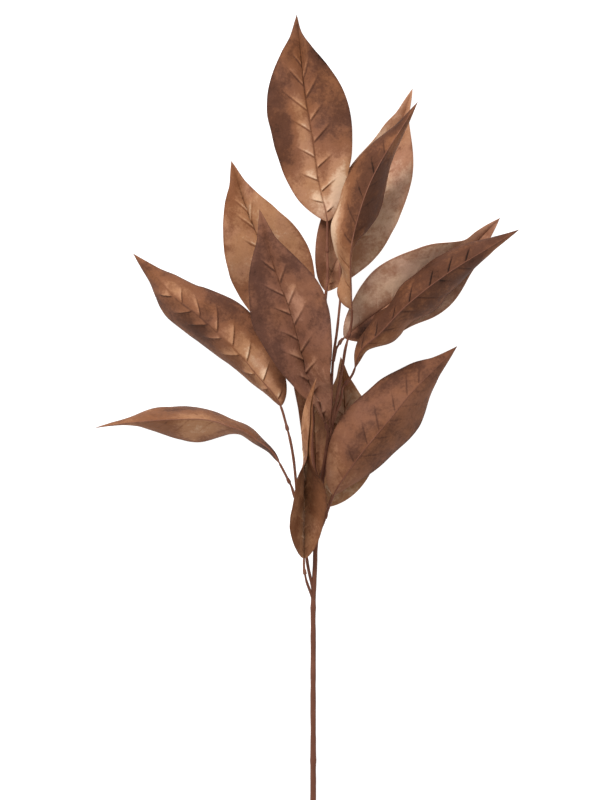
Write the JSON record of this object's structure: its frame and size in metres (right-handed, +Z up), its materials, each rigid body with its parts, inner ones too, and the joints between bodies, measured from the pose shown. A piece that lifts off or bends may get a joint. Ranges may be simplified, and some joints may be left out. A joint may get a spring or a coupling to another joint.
{
  "type": "bay leaf branch",
  "caption": "Cut branch lying flat: one thin stem with fine twigs, and broad pointed dried-brown leaves, some folded along the midrib, others open.",
  "frame": {"origin": "centre of the branch's outline, on the surface that it lies on", "axes": "+Y along the stem from its cut end to the top leaf, +Z up from the surface towards the viewer of the picture, +X to the picture's right"},
  "size_m": [0.4, 0.7621, 0.0988],
  "materials": {
    "stem": "matte brown bark, thinly wrapped",
    "leaf_top": "matte, faintly satin dried leaf",
    "leaf_upper_right_back": "matte, faintly satin dried leaf",
    "leaf_upper_right_front": "matte, faintly satin dried leaf",
    "leaf_right_back": "matte, faintly satin dried leaf",
    "leaf_right_front": "matte, faintly satin dried leaf",
    "leaf_upper_left": "matte, faintly satin dried leaf",
    "leaf_centre_front": "matte, faintly satin dried leaf",
    "leaf_left": "matte, faintly satin dried leaf",
    "leaf_left_drooping": "matte, faintly satin dried leaf",
    "leaf_lower_front": "matte, faintly satin dried leaf",
    "leaf_lower_right_back": "matte, faintly satin dried leaf",
    "leaf_centre_back": "matte, faintly satin dried leaf",
    "leaf_lower_right_front": "matte, faintly satin dried leaf"
  },
  "bodies": {
    "root": {"stem": "stem", "leaf_top": "leaf_top", "leaf_upper_right_back": "leaf_upper_right_back", "leaf_upper_right_front": "leaf_upper_right_front", "leaf_right_back": "leaf_right_back", "leaf_right_front": "leaf_right_front", "leaf_upper_left": "leaf_upper_left", "leaf_centre_front": "leaf_centre_front", "leaf_left": "leaf_left", "leaf_left_drooping": "leaf_left_drooping", "leaf_lower_front": "leaf_lower_front", "leaf_lower_right_back": "leaf_lower_right_back", "leaf_centre_back": "leaf_centre_back", "leaf_lower_right_front": "leaf_lower_right_front"}
  },
  "joints": []
}
